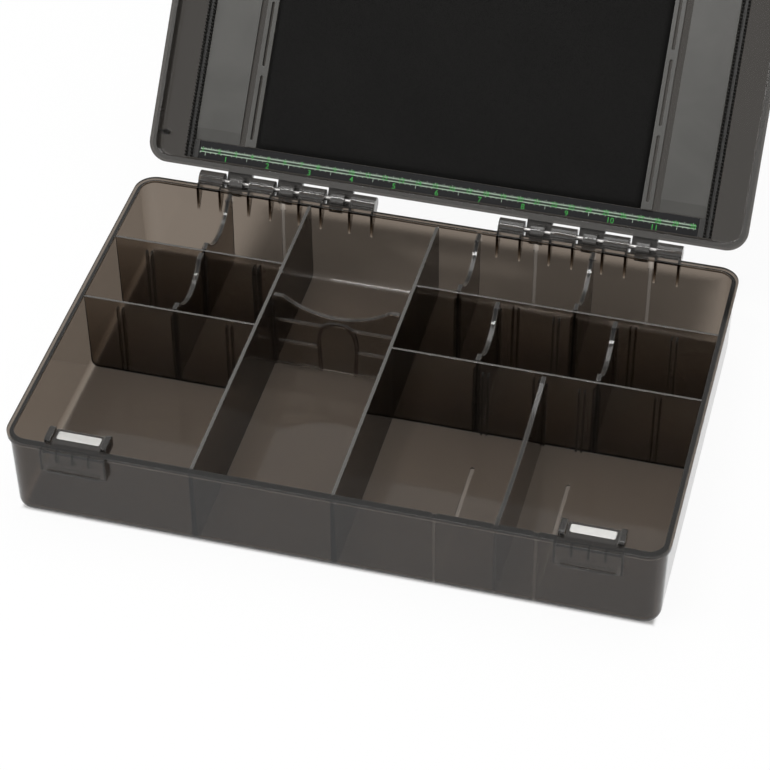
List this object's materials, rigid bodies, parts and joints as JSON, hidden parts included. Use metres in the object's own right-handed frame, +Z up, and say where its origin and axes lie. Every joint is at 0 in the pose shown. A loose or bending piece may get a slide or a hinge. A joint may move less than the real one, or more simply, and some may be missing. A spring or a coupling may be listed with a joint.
{
  "type": "tackle box",
  "caption": "Flat smoky clear-plastic compartment box with lift-out dividers and a shallow lid on two pinned hinges, held shut by magnets.",
  "frame": {"origin": "middle of the tray's underside, on the surface that it stands on", "axes": "+X to the right as seen from the front, +Y back towards the hinges, +Z up out of the tray; the lid stands open at rest"},
  "size_m": [0.353, 0.4026, 0.234],
  "materials": {
    "smoke_tray": "clear moulded plastic with a brown-grey smoke tint",
    "smoke_lid": "clear moulded plastic with a brown-grey smoke tint",
    "smoke_divider": "clear moulded plastic with a brown-grey smoke tint",
    "pin_steel": "bright drawn steel",
    "magnet_plating": "satin nickel plating",
    "ruler_plastic": "satin blue-grey with printed marks",
    "black_foam": "fine closed-cell foam",
    "grey_fitting": "satin grey plastic",
    "black_comb": "satin black plastic"
  },
  "bodies": {
    "tray": {"base_tray": "smoke_tray", "hinge_pin_left": "pin_steel", "hinge_pin_right": "pin_steel", "tray_magnet_left": "magnet_plating", "tray_magnet_right": "magnet_plating"},
    "lid": {"lid_shell": "smoke_lid", "lid_magnet_left": "magnet_plating", "lid_magnet_right": "magnet_plating", "ruler_strip": "ruler_plastic", "foam_liner": "black_foam", "foam_keeper_left": "grey_fitting", "foam_keeper_right": "grey_fitting", "side_panel_left": "grey_fitting", "side_panel_right": "grey_fitting", "line_comb_left": "black_comb", "line_comb_right": "black_comb"},
    "divider_left_rear": {"divider_left_rear": "smoke_divider"},
    "divider_left_middle": {"divider_left_middle": "smoke_divider"},
    "divider_right_rear_inner": {"divider_right_rear_inner": "smoke_divider"},
    "divider_right_rear_outer": {"divider_right_rear_outer": "smoke_divider"},
    "divider_right_middle_inner": {"divider_right_middle_inner": "smoke_divider"},
    "divider_right_middle_outer": {"divider_right_middle_outer": "smoke_divider"},
    "divider_right_front": {"divider_right_front": "smoke_divider"},
    "divider_centre": {"divider_centre": "smoke_divider"}
  },
  "joints": [
    {"name": "lid_hinge", "type": "hinge", "parent": "tray", "child": "lid", "pos_m": [0, 0.1221, 0.0528], "axis": [-1, 0, 0], "range_deg": [-131, 0]},
    {"name": "divider_left_rear_lift", "type": "slide", "parent": "tray", "child": "divider_left_rear", "axis": [0, 0, 1], "range_m": [0, 0.0635]},
    {"name": "divider_left_middle_lift", "type": "slide", "parent": "tray", "child": "divider_left_middle", "axis": [0, 0, 1], "range_m": [0, 0.0635]},
    {"name": "divider_right_rear_inner_lift", "type": "slide", "parent": "tray", "child": "divider_right_rear_inner", "axis": [0, 0, 1], "range_m": [0, 0.0635]},
    {"name": "divider_right_rear_outer_lift", "type": "slide", "parent": "tray", "child": "divider_right_rear_outer", "axis": [0, 0, 1], "range_m": [0, 0.0635]},
    {"name": "divider_right_middle_inner_lift", "type": "slide", "parent": "tray", "child": "divider_right_middle_inner", "axis": [0, 0, 1], "range_m": [0, 0.0635]},
    {"name": "divider_right_middle_outer_lift", "type": "slide", "parent": "tray", "child": "divider_right_middle_outer", "axis": [0, 0, 1], "range_m": [0, 0.0635]},
    {"name": "divider_right_front_lift", "type": "slide", "parent": "tray", "child": "divider_right_front", "axis": [0, 0, 1], "range_m": [0, 0.0635]},
    {"name": "divider_centre_lift", "type": "slide", "parent": "tray", "child": "divider_centre", "axis": [0, 0, 1], "range_m": [0, 0.0635]}
  ]
}
